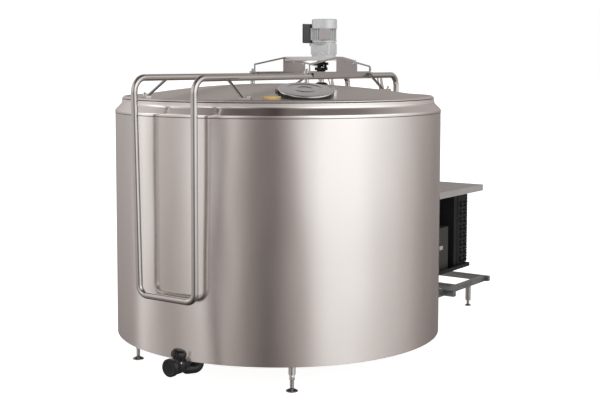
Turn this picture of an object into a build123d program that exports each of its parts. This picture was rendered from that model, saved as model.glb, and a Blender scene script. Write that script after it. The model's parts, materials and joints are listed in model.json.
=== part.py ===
from build123d import *
import os
from math import atan2, cos, degrees, hypot, radians, sin, sqrt, tan

os.makedirs("parts", exist_ok=True)

# Vertical milk cooling tank, mm, floor at z = 0. The sizes below are measured from the
# tank's own axis, with the lift handle towards -Y and the condensing unit towards +Y.

# insulated body
wall_r = 950.0
sheet = 2.0
wall_low = 158.0
wall_top = 1447.0
shoulder_low = 1453.0
collar_r = 912.0
collar_top = 1516.0
vessel_r = 900.0
vessel_sheet = 2.0
floor_slope = 2.5
floor_low = 176.0
evaporator_r = 780.0
evaporator_t = 5.0

# legs
leg_circle_r = 837.0
leg_angles = (-41, 41, -139, 139)
socket_r = 19.0
socket_low = 90.0

# lid
lid_top = 1601.0
lid_ball_r = 5060.0
lid_r = 893.0
edge_r = 911.0
edge_low = 1520.0
edge_top = 1532.0
edge_flat_r = 899.0

# lift frame: one tube, up from the rear hinge, over the lid and down into the handle
tube_r = 18.0
tube_bore_r = 16.0
frame_z = 1643.0
front_y = -1008.0
front_half = 207.0
handle_z = 487.0
handle_y = -994.0
handle_half = 193.0
rear_y = 1058.0
rear_half = 187.0
hinge_z = 1372.0
pin_r = 10.0
running_gap = 0.05

# bridge and drive
cheek_x = 3.0
cheek_t = 4.0
cheek_front = 31.0
cheek_rear = 730.0
cheek_front_z = 1717.0
cheek_peak_z = 1758.0
cheek_rear_z = 1702.0
rod_y = 12.0
peak_y = 335.0
web_rear_y = 562.0
border = 10.0
plate_z = 1760.0
shaft_y = 456.0
shaft_r = 17.5
gear_y = 484.0
motor_y = 490.0
motor_r = 77.0
motor_low = 1850.0
cover_low = 1939.0
motor_top = 1992.0

# inspection cover, tilted with the lid
manway_x = 525.0
manway_y = -481.0
manway_z = 1586.0
manway_tilt = 14.0
manway_r = 136.0
cover_r = 145.0
cover_pin_y = 158.0

# milk inlet and outlet
inlet_x = 470.0
inlet_y = -700.0
inlet_r = 42.0
outlet_x = 70.0
outlet_z = 141.0
outlet_r = 28.0
outlet_bore_r = 24.0
sump_y = -790.0
stem_y = -1004.0
elbow_end = 54.0
cap_end = 58.0
stem_tilt = 16.0
knob_r = 42.0

# condensing unit
rail = 38.0
rail_x = 350.0
rail_z = 155.0
unit_front = 1150.0
unit_rear = 1785.0
tray_z = 292.0
tray_h = 26.0
core_half = 340.0
core_y = 1731.0
core_t = 122.0
fan_z = 560.0
fan_r = 190.0
cover_z = 854.0
cover_lip = 44.0
cover_half = 384.0
cover_rear = 1972.0

# the origin is under the middle of the whole machine, so the tank axis lies behind it
back_rail_y = 2077.0
middle_y = (back_rail_y + rail / 2 + stem_y - cap_end) / 2
strut_places = ((330, -770), (350, 612))
LOW = (Align.CENTER, Align.CENTER, Align.MIN)


def lid_height(x, y):
    """height of the lid's outer skin above a point of the floor"""
    return lid_top - lid_ball_r + sqrt(lid_ball_r ** 2 - x * x - y * y)


def post(radius, low, high, x=0.0, y=0.0):
    return Pos(x, y, low) * Cylinder(radius, high - low, align=LOW)


def block(x0, x1, y0, y1, z0, z1):
    return Pos((x0 + x1) / 2, (y0 + y1) / 2, (z0 + z1) / 2) * Box(x1 - x0, y1 - y0, z1 - z0)


def turned(points, x=0.0, y=0.0):
    """solid of revolution about the vertical line through x, y from (radius, height) points"""
    outline = Polyline([(r, 0, z) for r, z in points], close=True)
    return Pos(x, y, 0) * revolve(make_face(outline), Axis.Z)


def plate_yz(points, x0, x1):
    """flat plate between x0 and x1 from (y, z) corner points"""
    face = make_face(Polyline([(x0, y, z) for y, z in points], close=True))
    return extrude(face, amount=x1 - x0, dir=(1, 0, 0))


def bent_xz(points, y0, y1):
    """folded sheet along Y from (x, z) points of its closed outline"""
    face = make_face(Polyline([(x, y0, z) for x, z in points], close=True))
    return extrude(face, amount=y1 - y0, dir=(0, 1, 0))


def bar(start, end, radius):
    """round bar between two points"""
    way = Vector(*end) - Vector(*start)
    return Plane(origin=start, z_dir=way) * Cylinder(radius, way.length, align=LOW)


def swept(points, bends, radius):
    path = FilletPolyline(*points, radius=bends)
    ring = Plane(origin=path @ 0, z_dir=path % 0) * Circle(radius)
    return sweep(ring, path=path)


def mirrored(shape):
    return mirror(shape, about=Plane.YZ)


def both(shape):
    return Compound([shape, mirrored(shape)])


def lid_ball():
    return Pos(0, 0, lid_top - lid_ball_r) * Sphere(lid_ball_r)


def leg_places():
    return [(leg_circle_r * sin(radians(a)), -leg_circle_r * cos(radians(a))) for a in leg_angles]


def tub(radius, lift, top):
    """upright cylinder whose floor slopes down to the front"""
    middle = floor_low + vessel_r * tan(radians(floor_slope)) + lift
    below = Pos(0, 0, middle) * Rot(floor_slope, 0, 0) * Pos(0, 0, -300) * Box(2400, 2400, 600)
    return post(radius, wall_low - 50, top) - below


def outer_wall():
    wall = post(wall_r, wall_low, wall_top) - post(wall_r - sheet, wall_low - 1, wall_top + 1)
    return wall - elbow_run(outlet_r + 2)


def shoulder_ring():
    top = shoulder_low + wall_r + 1.5 - collar_r
    inner = collar_r - sheet
    return turned([(wall_r, wall_top - 7), (wall_r + 1.5, wall_top - 7), (wall_r + 1.5, shoulder_low),
                   (collar_r, top), (collar_r, collar_top - 4), (collar_r - 4, collar_top),
                   (vessel_r - 16, collar_top), (vessel_r - 16, collar_top - sheet),
                   (inner - 2, collar_top - sheet), (inner, collar_top - sheet - 2), (inner, top - 1),
                   (wall_r - 2, shoulder_low - 1), (wall_r - 2, wall_top), (wall_r, wall_top)])


def inner_vessel():
    top = collar_top - sheet
    shell = tub(vessel_r, 0, top) - tub(vessel_r - vessel_sheet, vessel_sheet, top + 50)
    return shell - post(outlet_bore_r, 100, 260, outlet_x, sump_y)


def elbow_run(radius):
    points = [(outlet_x, sump_y, 200), (outlet_x, sump_y, outlet_z), (outlet_x, stem_y + elbow_end, outlet_z)]
    return swept(points, 45, radius)


def evaporator_plate():
    slab = tub(evaporator_r, -evaporator_t, 400) - tub(evaporator_r + 20, 0, 500)
    return slab - post(outlet_r + 24, 100, 300, outlet_x, sump_y)


def insulation():
    fill = post(wall_r - sheet, wall_low + sheet, wall_top - 10) - tub(vessel_r, -evaporator_t, 1600)
    fill -= elbow_run(outlet_r + 2)
    for x in (-60, 60):
        fill -= post(12, 100, 300, x, 740)
    return fill


def bottom_plate():
    plate = post(wall_r - sheet, wall_low, wall_low + sheet) - elbow_run(outlet_r + 2)
    for x in (-60, 60):
        plate -= post(12, 100, 300, x, 740)
    return plate


def leg_sockets():
    profile = [(11, socket_low), (socket_r, socket_low), (socket_r, wall_low - 14), (45, wall_low - 5),
               (45, wall_low), (11, wall_low)]
    return Compound([turned(profile, x, y) for x, y in leg_places()])


def levelling_feet():
    """screw and pad of each leg"""
    screw = [(0, 14), (7, 14), (10, 20), (10, 130), (0, 130)]
    pad = [(0, 0), (32, 0), (32, 5), (15, 14), (0, 14)]
    return Compound([turned(profile, x, y) for profile in (screw, pad) for x, y in leg_places()])


def outlet_elbow():
    return elbow_run(outlet_r) - elbow_run(outlet_bore_r) - tub(vessel_r, 0, 400)


def along_outlet(points):
    """solid turned about the outlet's own line, from (radius, distance before the stem) points"""
    outline = make_face(Polyline([(r, 0, d) for r, d in points], close=True))
    place = Pos(outlet_x, stem_y, outlet_z) * Rot(90, 0, 0)
    return place * revolve(outline, Axis.Z)


def stem_frame():
    return Pos(outlet_x, stem_y, outlet_z) * Rot(0, stem_tilt, 0)


def valve_body():
    shell = along_outlet([(24, -elbow_end), (35, -elbow_end), (35, -42), (31, -38), (31, -26), (44, -20), (44, 10),
                          (38, 13), (30, 15), (30, 47), (outlet_bore_r, 47)])
    shell += stem_frame() * (Pos(0, 0, 30) * Cylinder(13, 20, align=LOW))
    shell -= Pos(outlet_x, stem_y, outlet_z) * Rot(90, 0, 0) * Cylinder(outlet_bore_r, 200)
    return shell - stem_frame() * Cylinder(6 + running_gap, 160)


def valve_disc():
    disc = Pos(0, 0, 0) * Rot(90, 0, 0) * Cylinder(outlet_bore_r - 0.3, 4)
    stem = Pos(0, 0, -28) * Cylinder(6, 86, align=LOW)
    return stem_frame() * (disc + stem)


def valve_knob():
    dome = turned([(0, 58), (14, 58), (14, 52), (26, 50.5), (knob_r - 2, 56), (knob_r, 66), (knob_r - 2, 80), (32, 89),
                   (18, 94), (0, 95)])
    return stem_frame() * dome


def outlet_cap():
    return along_outlet([(0, 52), (25, 52), (25, 48), (30.3, 48), (30.3, 34), (48, 34), (48, cap_end - 5),
                         (43, cap_end), (0, cap_end)])


def lid_dome():
    edge = lid_height(lid_r, 0)
    mid = lid_r / 2
    outer = ThreePointArc((0, 0, lid_top), (mid, 0, lid_height(mid, 0)), (lid_r, 0, edge))
    inner = ThreePointArc((0, 0, lid_top - sheet), (mid, 0, lid_height(mid, 0) - sheet), (lid_r, 0, edge - sheet))
    ends = [Line(outer @ 1, inner @ 1), Line(inner @ 0, outer @ 0)]
    skin = revolve(make_face([outer, inner] + ends), Axis.Z)
    skin -= post(45, 1500, 1700, 0, shaft_y)
    skin -= post(inlet_r, 1500, 1700, inlet_x, inlet_y)
    return skin - manway_frame() * Cylinder(manway_r, 200)


def lid_edge_ring():
    return turned([(lid_r, edge_low), (edge_r, edge_low), (edge_r, edge_low + 4), (edge_flat_r, edge_top),
                   (lid_r, edge_top)])


def lid_gasket():
    return turned([(lid_r, collar_top + 0.3), (905, collar_top + 0.3), (905, edge_low), (lid_r, edge_low)])


def frame_half(y):
    """half the distance between the two long tubes, which close in slightly towards the rear"""
    return front_half + (rear_half - front_half) * (y - front_y) / (rear_y - front_y)


def along_tube(shape):
    """shape drawn about the right tube, with its own origin on the tube's line abreast of the tank axis"""
    return Pos(frame_half(0), 0, 0) * Rot(0, 0, degrees(atan2(front_half - rear_half, rear_y - front_y))) * shape


def lift_frame():
    left = [(-rear_half, rear_y, hinge_z + 10), (-rear_half, rear_y, frame_z), (-front_half, front_y, frame_z),
            (-handle_half, handle_y, handle_z)]
    points = left + [(-x, y, z) for x, y, z in reversed(left)]
    bends = [70, 80, 55, 55, 80, 70]
    tube = swept(points, bends, tube_r) - swept(points, bends, tube_bore_r)
    for side in (-1, 1):
        tube -= Pos(side * rear_half, rear_y, hinge_z) * Rot(0, 90, 0) * Cylinder(22, 60)
        tube -= post(7, 1600, 1700, side * frame_half(rod_y), rod_y)
        eye = Cylinder(22, 50) - Cylinder(pin_r + running_gap, 60)
        tube += Pos(side * rear_half, rear_y, hinge_z) * Rot(0, 90, 0) * eye
    return tube


def hinge_pins():
    pin = Cylinder(pin_r, 84) + Pos(0, 0, 42) * Cylinder(15, 6, align=LOW)
    return both(Pos(rear_half, rear_y, hinge_z) * Rot(0, 90, 0) * pin)


def wall_brackets():
    """hinge brackets of the lift frame and the plates that carry the unit's side rails"""
    outline = [(900, hinge_z - 150), (960, hinge_z - 150), (rear_y + 8, hinge_z - 24), (rear_y + 24, hinge_z - 8),
               (rear_y + 24, hinge_z + 14), (rear_y + 12, hinge_z + 24), (960, hinge_z + 24), (900, hinge_z + 24)]
    ears = [plate_yz(outline, rear_half + x, rear_half + x + 8) for x in (-34, 26)]
    web = block(rear_half - 34, rear_half + 34, 920, 990, hinge_z - 60, hinge_z - 52)
    bracket = ears[0] + ears[1] + web
    bracket -= Pos(rear_half, rear_y, hinge_z) * Rot(0, 90, 0) * Cylinder(pin_r, 120)
    plate = block(rail_x + rail / 2, rail_x + rail / 2 + 8, 860, 1010, rail_z - rail / 2, rail_z + 110)
    brackets = [shape - post(wall_r, 0, wall_top) for shape in (bracket, plate)]
    return Compound(brackets + [mirrored(b) for b in brackets])


def rim_struts():
    """splayed bars from the tubes down to the lid's rim, front and rear"""
    (x0, y0), (x1, y1) = strut_places
    front_top = Vector(frame_half(-738), -738, frame_z)
    front_foot = Vector(x0, y0, lid_height(x0, y0) + 8)
    front_start = front_top + (front_foot - front_top).normalized() * 10
    tube = along_tube(Pos(0, -738, frame_z) * Rot(90, 0, 0) * Cylinder(tube_r, 200))
    rear_start = Vector(frame_half(672) + tube_r + 13, 668, frame_z + 9)
    rear_foot = Vector(x1, y1, lid_height(x1, y1) + 8)
    front = bar(tuple(front_start), tuple(front_foot), 8) - tube
    rear = bar(tuple(rear_start), tuple(rear_foot), 8) + lug_on_saddle()
    return Compound([front, rear, mirrored(front), mirrored(rear)])


def lug_on_saddle():
    """flat lug between the saddle's outer side and the rear bar"""
    lug = along_tube(block(tube_r + 4, tube_r + 16, 656, 680, frame_z - 4, frame_z + 16))
    return lug


def strut_feet():
    """pads under the struts, each with its clamp nut"""
    feet = []
    struts = rim_struts()
    for x, y in strut_places:
        z = lid_height(x, y)
        pad = Pos(x + 16, y + 6, z - 8) * Rot(0, 0, 20) * Box(66, 32, 18, align=LOW)
        nut = turned([(0, z + 10), (10, z + 10), (10, z + 18), (6, z + 18), (6, z + 27), (0, z + 27)], x + 32, y + 12)
        feet += [pad - lid_ball() - struts, nut]
    return Compound(feet + [mirrored(f) for f in feet])


def rear_links():
    """flat bar and tapered plate from each tube's rear end to the lid's edge ring"""
    x = frame_half(870)
    top = frame_z - tube_r - 0.3
    foot = edge_low + 5
    bar_side = [(842, foot), (856, foot), (852, 1572), (826, top), (814, top), (842, 1572)]
    plate_side = [(862, foot), (910, foot), (906, 1546), (872, top), (856, top)]
    links = [plate_yz(side, x - 3, x + 3) - lid_ball() - lid_edge_ring() for side in (bar_side, plate_side)]
    return Compound(links + [mirrored(link) for link in links])


def suspension_rods():
    """sleeve and nutted rod that hang the lid's middle from each tube"""
    x = frame_half(rod_y)
    z = lid_height(x, rod_y) + 0.5
    top = frame_z + tube_r
    sleeve = post(14, 1560, frame_z - tube_r - 0.2, x, rod_y) - post(7, 1500, 1700, x, rod_y) - lid_ball()
    rod = turned([(0, z), (6.9, z), (6.9, top + 0.2), (16, top + 0.2), (16, top + 12), (6.9, top + 12),
                  (6.9, top + 26), (0, top + 26)], x, rod_y)
    return Compound([sleeve, rod, mirrored(sleeve), mirrored(rod)])


def bridge_cheek_right():
    """plate on edge with two windows, standing on a saddle over its tube"""
    low = frame_z + tube_r + 2
    slope_up = (cheek_peak_z - cheek_front_z) / (peak_y - cheek_front)
    peak_end = peak_y + 14
    slope_down = (cheek_peak_z - cheek_rear_z) / (cheek_rear - peak_end)

    def top(y):
        if y < peak_y:
            return cheek_peak_z - slope_up * (peak_y - y)
        return cheek_peak_z - slope_down * max(0, y - peak_end)

    plate = plate_yz([(cheek_front, low), (cheek_front, cheek_front_z), (peak_y, cheek_peak_z),
                      (peak_end, cheek_peak_z), (cheek_rear - 12, top(cheek_rear - 12)),
                      (cheek_rear, top(cheek_rear) - 14), (cheek_rear, low + 10), (cheek_rear - 8, low)],
                     cheek_x - cheek_t / 2, cheek_x + cheek_t / 2)
    windows = [(cheek_front + border, peak_y - 8), (web_rear_y, cheek_rear - 2 * border)]
    for y0, y1 in windows:
        hole = [(y0, low + 6), (y0, top(y0) - border), (y1, top(y1) - border), (y1, low + 6)]
        plate -= plate_yz(hole, cheek_x - 10, cheek_x + 10)
    for y in (430, 530):
        slot = Pos(cheek_x, y, top(y) - 15) * Rot(-degrees(slope_down), 0, 0) * Box(20, 34, 5)
        plate -= slot
    side = tube_r + 4
    skirt = frame_z - 6
    saddle = bent_xz([(-side, skirt), (-side, low), (side, low), (side, skirt), (side - 2, skirt), (side - 2, low - 2),
                      (2 - side, low - 2), (2 - side, skirt)], cheek_front + 20, cheek_rear - 8)
    return along_tube(plate + saddle)


def bridge_cheek_left():
    return mirrored(bridge_cheek_right())


def motor_plate():
    """folded sheet: flat middle under the drive, wings down to the cheeks, lip along the front"""
    inner = front_half
    low = plate_z - 4
    fold = bent_xz([(-inner, low - 28), (-90, low), (90, low), (inner, low - 28), (inner, low - 24), (90.5, plate_z),
                    (-90.5, plate_z), (-inner, low - 24)], peak_y + 4, web_rear_y)
    lip = block(-inner, inner, peak_y, peak_y + 4, plate_z - 25, plate_z)
    outside = along_tube(block(cheek_x - cheek_t / 2, 80, peak_y - 60, web_rear_y + 60, 1650, 1850))
    return fold + lip - outside - mirrored(outside) - post(22, 1700, 1800, 0, shaft_y)


def adapter_flange():
    ring = turned([(0, plate_z - 22), (68, plate_z - 22), (75, plate_z - 15), (75, plate_z - 4), (0, plate_z - 4)],
                  0, gear_y)
    return ring - post(22, 1700, 1800, 0, shaft_y)


def gear_housing():
    flange = post(74, plate_z, plate_z + 12, 0, gear_y)
    box = Pos(0, gear_y, plate_z + 12) * Box(140, 100, motor_low - plate_z - 22, align=LOW)
    box = fillet(box.edges().filter_by(Axis.Z), 14)
    neck = post(70, motor_low - 10, motor_low, 0, motor_y)
    housing = flange + box + neck
    return housing - post(15 + running_gap, 1700, plate_z + 50, 0, shaft_y) - post(10, 1800, 1860, 0, motor_y)


def motor_housing():
    """round stator housing with upright cooling fins and a flat seat for the terminal box"""
    top = cover_low - 2
    core = turned([(0, motor_low), (motor_r, motor_low), (motor_r, motor_low + 8), (64, motor_low + 12), (64, top),
                   (0, top)], 0, motor_y)
    fins = 22
    for k in range(fins):
        place = Pos(0, motor_y, motor_low + 8) * Rot(0, 0, (k + 0.5) * 360 / fins)
        core += place * Pos(62, 0, 0) * Box(13, 3, top - motor_low - 8, align=(Align.MIN, Align.CENTER, Align.MIN))
    core += block(-80, -50, motor_y - 36, motor_y + 36, motor_low + 12, top)
    return core - post(7 + running_gap, 1800, 1960, 0, motor_y)


def motor_rotor():
    """motor shaft with the cooling fan on its upper end"""
    rotor = post(7, motor_low - 8, motor_top - 14, 0, motor_y) + post(20, cover_low + 8, motor_top - 16, 0, motor_y)
    for k in range(6):
        vane = Pos(0, motor_y, cover_low + 10) * Rot(0, 0, 60 * k) * Pos(18, 0, 0)
        rotor += vane * Box(48, 2.5, 22, align=(Align.MIN, Align.CENTER, Align.MIN))
    return rotor


def fan_cover():
    z0, z1 = cover_low - 6, motor_top
    cup = turned([(76.2, z0), (78, z0), (78, z1 - 5), (73, z1), (0, z1), (0, z1 - 2), (72.2, z1 - 2), (76.2, z1 - 6)],
                 0, motor_y)
    for k in range(12):
        slot = Pos(0, motor_y, z1) * Rot(0, 0, 30 * k) * Pos(42, 0, 0)
        cup -= slot * Box(36, 6, 10)
    return cup - block(-90, -60, motor_y - 37, motor_y + 37, z0 - 1, cover_low)


def nameplate():
    """bare plate on the motor, on the side turned to the viewer"""
    place = Pos(0, motor_y, motor_low + 48) * Rot(0, 0, -54)
    return place * Pos(76.4, 0, 0) * Box(2, 62, 70)


def terminal_box():
    """open box and its screwed lid"""
    base = block(-127, -80, motor_y - 45, motor_y + 45, motor_low - 3, motor_low + 113)
    base = fillet(base.edges().filter_by(Axis.X), 6)
    base -= block(-127, -86, motor_y - 40, motor_y + 40, motor_low + 3, motor_low + 107)
    lid = block(-134, -127, motor_y - 47, motor_y + 47, motor_low - 5, motor_low + 115)
    return Compound([base, fillet(lid.edges().filter_by(Axis.X), 7)])


def cable_gland():
    z = motor_low - 3
    hexagon = Pos(-100, motor_y, z - 7) * extrude(RegularPolygon(12, 6), 7)
    return hexagon + turned([(5, z - 20), (8, z - 20), (10, z - 17), (10, z - 7), (5, z - 7)], -100, motor_y)


def lid_necks():
    """necks welded into the lid for the agitator shaft, the milk inlet and the inspection cover"""
    necks = []
    for x, y, r0, r1, up in ((0, shaft_y, 40, 45, 4), (inlet_x, inlet_y, inlet_r - 3, inlet_r, 8)):
        z = lid_height(x, y)
        necks.append(turned([(r0, z - 14), (r1, z - 14), (r1, z + up), (r0, z + up)], x, y))
    inner = manway_r - 3
    necks.append(manway_frame() * turned([(inner, -60), (manway_r, -60), (manway_r, -14), (inner, -14)]))
    return Compound(necks)


def shaft_boot():
    z = lid_height(0, shaft_y) + 4
    gap = shaft_r + 0.1
    return turned([(gap + 8, z), (47, z), (44, z + 5), (30, z + 15), (27, z + 17), (gap, z + 17), (gap, z + 12),
                   (gap + 8, z + 8)], 0, shaft_y)


def shaft_coupling():
    """gear output shaft, two coupling halves and the spider between them"""
    output = post(15, 1704, plate_z + 46, 0, shaft_y)
    lower = post(40, 1676, 1694, 0, shaft_y) + post(27, 1668, 1676, 0, shaft_y) - post(shaft_r, 1600, 1700, 0, shaft_y)
    upper = post(45, 1708, 1724, 0, shaft_y) + post(27, 1724, 1734, 0, shaft_y) - post(15, 1700, 1740, 0, shaft_y)
    spider = post(24, 1696, 1704, 0, shaft_y)
    for k in range(3):
        arm = Pos(0, shaft_y, 1694) * Rot(0, 0, 30 + 120 * k) * Pos(26, 0, 0)
        spider += arm * Box(16, 14, 14, align=LOW)
    return Compound([output, lower, upper, spider])


def agitator_shaft():
    return post(shaft_r, 330, 1694, 0, shaft_y)


def agitator_paddle():
    """hub with two wide blades, pitched to lift the milk along the bottom"""
    hub = post(32, 335, 425, 0, shaft_y) - post(shaft_r, 300, 500, 0, shaft_y)
    for side in (0, 180):
        blade = Pos(0, shaft_y, 380) * Rot(0, 0, side) * Pos(28, 0, 0) * Rot(28, 0, 0)
        hub += blade * Box(270, 6, 96, align=(Align.MIN, Align.CENTER, Align.CENTER))
    return hub


def manway_frame():
    """frame on the cover's rim plane: z along its normal, x down the slope of the lid"""
    u = Vector(manway_x, manway_y, 0).normalized()
    t = radians(manway_tilt)
    normal = u * sin(t) + Vector(0, 0, cos(t))
    down = u * cos(t) - Vector(0, 0, sin(t))
    return Plane(origin=(manway_x, manway_y, manway_z), x_dir=down, z_dir=normal)


def manway_cover():
    """pressed cover with raised rings and a turned-down rim"""
    r = cover_r
    return manway_frame() * turned([(0, -3), (40, -3), (46, 0), (54, 0), (60, -3), (96, -3), (102, 0), (r - 12, 1),
                                    (r - 4, -1), (r, -5), (r, -14), (r - 2, -14), (r - 2, -6), (r - 5, -3),
                                    (r - 12.4, -1), (102.8, -2), (96.8, -5), (59.2, -5), (53.2, -2), (46.8, -2),
                                    (40.8, -5), (0, -5)])


def manway_gasket():
    """seal that grips the neck's upper edge and its outer side"""
    r = manway_r + 0.2
    ring = turned([(r - 8, -13.7), (r, -13.7), (r, -40), (r + 6.4, -40), (r + 6.4, -14.3), (r + 3, -14.3), (r + 3, -3.6),
                   (r - 8, -3.6)])
    return manway_frame() * ring - lid_ball()


def cover_hinge_leaf():
    leaf = Pos(0, cover_pin_y, -8) * Rot(0, 90, 0) * Cylinder(8, 42)
    leaf += block(-18, 18, cover_r - 5, cover_pin_y, -5, -1)
    leaf -= Cylinder(cover_r, 60) + Pos(0, cover_pin_y, -8) * Rot(0, 90, 0) * Cylinder(4 + running_gap, 60)
    return manway_frame() * leaf


def cover_hinge_base():
    """block on the lid with two ears, and the pin between them"""
    y0, y1 = cover_pin_y - 8, cover_pin_y + 8
    base = block(-29, -22, y0, y1, -60, 0) + block(22, 29, y0, y1, -60, 0) + block(-29, 29, y0, y1, -60, -22)
    pin = Pos(0, cover_pin_y, -8) * Rot(0, 90, 0) * Cylinder(4, 64)
    return Compound([manway_frame() * (base - pin) - lid_ball(), manway_frame() * pin])


def cover_grip():
    grip = block(-14, 14, -cover_r - 13, 2 - cover_r, -26, -6)
    return manway_frame() * (grip - Cylinder(cover_r, 80))


def inlet_plug():
    z = lid_height(inlet_x, inlet_y) + 8
    r = inlet_r - 3.4
    return turned([(0, z - 8), (r, z - 8), (r, z + 0.3), (46, z + 0.3), (48, z + 3), (48, z + 12), (45, z + 16),
                   (0, z + 16)], inlet_x, inlet_y)


def unit_frame():
    """side rails under the tank's rear edge, cross rails, the tray's legs and the roof's front posts"""
    z0, z1 = rail_z - rail / 2, rail_z + rail / 2
    h = rail / 2
    y_mid, y_foot, y_back = 1440, 1643, back_rail_y
    pieces = [block(-391, 391, y_back - h, y_back + h, z0, z1), block(-440, 440, y_mid - h, y_mid + h, z0, z1),
              block(h - rail_x, rail_x - h, y_foot - h, y_foot + h, z0, z1)]
    sides = [block(rail_x - h, rail_x + h, 905, y_mid - h, z0, z1),
             block(rail_x - h, rail_x + h, y_mid + h, y_back - h, z0, z1),
             block(230, 260, y_mid - 15, y_mid + 15, z1, tray_z),
             block(230, rail_x - h, 1185, 1215, z1 - 30, z1),
             block(230, 260, 1185, 1215, z1, tray_z),
             block(cover_half - 32, cover_half - 4, 1010, 1038, z1, cover_z - 2)]
    return Compound(pieces + sides + [mirrored(piece) for piece in sides])


def unit_feet():
    profile = [(0, 0), (22, 0), (22, 5), (10, 12), (10, 40), (19, 40), (19, rail_z - rail / 2), (0, rail_z - rail / 2)]
    return both(turned(profile, rail_x + 8, 1808))


def base_tray():
    outer = block(-cover_half + 6, cover_half - 6, unit_front, unit_rear, tray_z, tray_z + tray_h)
    return outer - block(-cover_half + 9, cover_half - 9, unit_front + 3, unit_rear - 3, tray_z + 3, tray_z + 40)


def condenser_core():
    return block(-core_half, core_half, core_y - core_t / 2, core_y + core_t / 2, tray_z + 32, cover_z - cover_lip - 7)


def core_end_plates():
    x = core_half
    plate = block(x, x + 3, core_y - core_t / 2 - 12, core_y + core_t / 2 + 12, tray_z + 3, cover_z - cover_lip)
    return both(plate - block(x - 1, x + 4, unit_rear - 4, unit_rear + 60, 0, tray_z + tray_h + 1))


def return_bends():
    """U bends that join the core's tubes outside its end plates"""
    section = Plane(origin=(0, 0, 14), z_dir=(1, 0, 0)) * RegularPolygon(6, 8)
    bow = revolve(section, Axis.Y, 180)
    bends = []
    for k in range(8):
        for y in (core_y - 26, core_y + 26):
            bends.append(Pos(core_half + 3, y, tray_z + 58 + 55 * k) * bow)
    return Compound(bends + [mirrored(b) for b in bends])


def fan_shroud():
    y0 = core_y - core_t / 2 - 60
    top = cover_z - cover_lip - 3
    box = block(-core_half, core_half, y0, y0 + 60, tray_z + 3, top)
    box -= block(-core_half + 3, core_half - 3, y0 + 3, y0 + 80, tray_z + 6, top - 3)
    ring = Pos(0, y0, fan_z) * Rot(90, 0, 0)
    box += ring * Cylinder(fan_r + 14, 36, align=LOW)
    return box - ring * Cylinder(fan_r + 10, 200)


def fan_motor():
    y = core_y - core_t / 2 - 60
    body = Pos(0, y - 60, fan_z) * Rot(90, 0, 0) * Cylinder(46, 90, align=LOW)
    for a in (90, 210, 330):
        arm = Pos(0, y - 64, fan_z) * Rot(0, a, 0) * Pos(40, 0, 0)
        body += arm * Box(fan_r - 24, 8, 22, align=(Align.MIN, Align.CENTER, Align.CENTER))
        end = Pos(0, y - 60, fan_z) * Rot(0, a, 0) * Pos(fan_r + 12, 0, 0)
        body += end * Box(8, 48, 22, align=(Align.MIN, Align.CENTER, Align.CENTER))
    body -= Pos(0, y - 12, fan_z) * Rot(90, 0, 0) * Cylinder(fan_r + 14, 26, align=LOW)
    return body - Pos(0, y, fan_z) * Rot(90, 0, 0) * Cylinder(8 + running_gap, 90, align=LOW)


def condenser_fan():
    y = core_y - core_t / 2 - 60
    fan = Pos(0, y - 4, fan_z) * Rot(90, 0, 0) * Cylinder(38, 44, align=LOW)
    fan += Pos(0, y - 40, fan_z) * Rot(90, 0, 0) * Cylinder(8, 50, align=LOW)
    for k in range(5):
        blade = Pos(0, y - 24, fan_z) * Rot(0, 72 * k, 0) * Pos(30, 0, 0) * Rot(62, 0, 0)
        fan += blade * Box(fan_r - 34, 2.5, 62, align=(Align.MIN, Align.CENTER, Align.CENTER))
    return fan


def top_cover():
    """folded sheet roof, open below"""
    roof = block(-cover_half, cover_half, 1000, cover_rear, cover_z - cover_lip, cover_z)
    return roof - block(-cover_half + 2, cover_half - 2, 1002, cover_rear - 2, cover_z - 60, cover_z - 2)


def control_box():
    box = block(196, 338, 1300, 1535, tray_z + 3, 600)
    return fillet(box.edges().filter_by(Axis.Z), 8)


def compressor():
    pot = turned([(0, 346), (80, 346), (95, 366), (98, 372), (98, 500), (103, 504), (103, 512), (98, 516), (94, 590),
                  (70, 622), (0, 632)], -180, 1370)
    return pot + block(-290, -70, 1280, 1460, 336, 346)


def compressor_mounts():
    mounts = [post(14, tray_z + 3, 336, x, y) for x in (-278, -82) for y in (1292, 1448)]
    return Compound(mounts)


def receiver():
    return turned([(0, tray_z + 3), (40, tray_z + 3), (55, tray_z + 22), (55, 520), (40, 545), (0, 552)], 60, 1290)


def refrigerant_pipes():
    """suction line, discharge line and liquid line"""
    y = core_y - core_t / 2
    suction = [(-60, 740, 205), (-60, 740, 130), (-60, 1100, 130), (-60, 1100, 460), (-86, 1340, 460)]
    discharge = [(-180, 1370, 625), (-180, 1370, 700), (-310, 1370, 700), (-310, y, 700)]
    liquid = [(60, 740, 205), (60, 740, 130), (60, 1130, 130), (60, 1130, 600), (60, 1290, 600), (60, 1290, 548)]
    filled = compressor() + receiver() + fan_shroud()
    return Compound([swept(*line) - filled for line in ((suction, 30, 8), (discharge, 26, 6), (liquid, 22, 5))])


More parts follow.
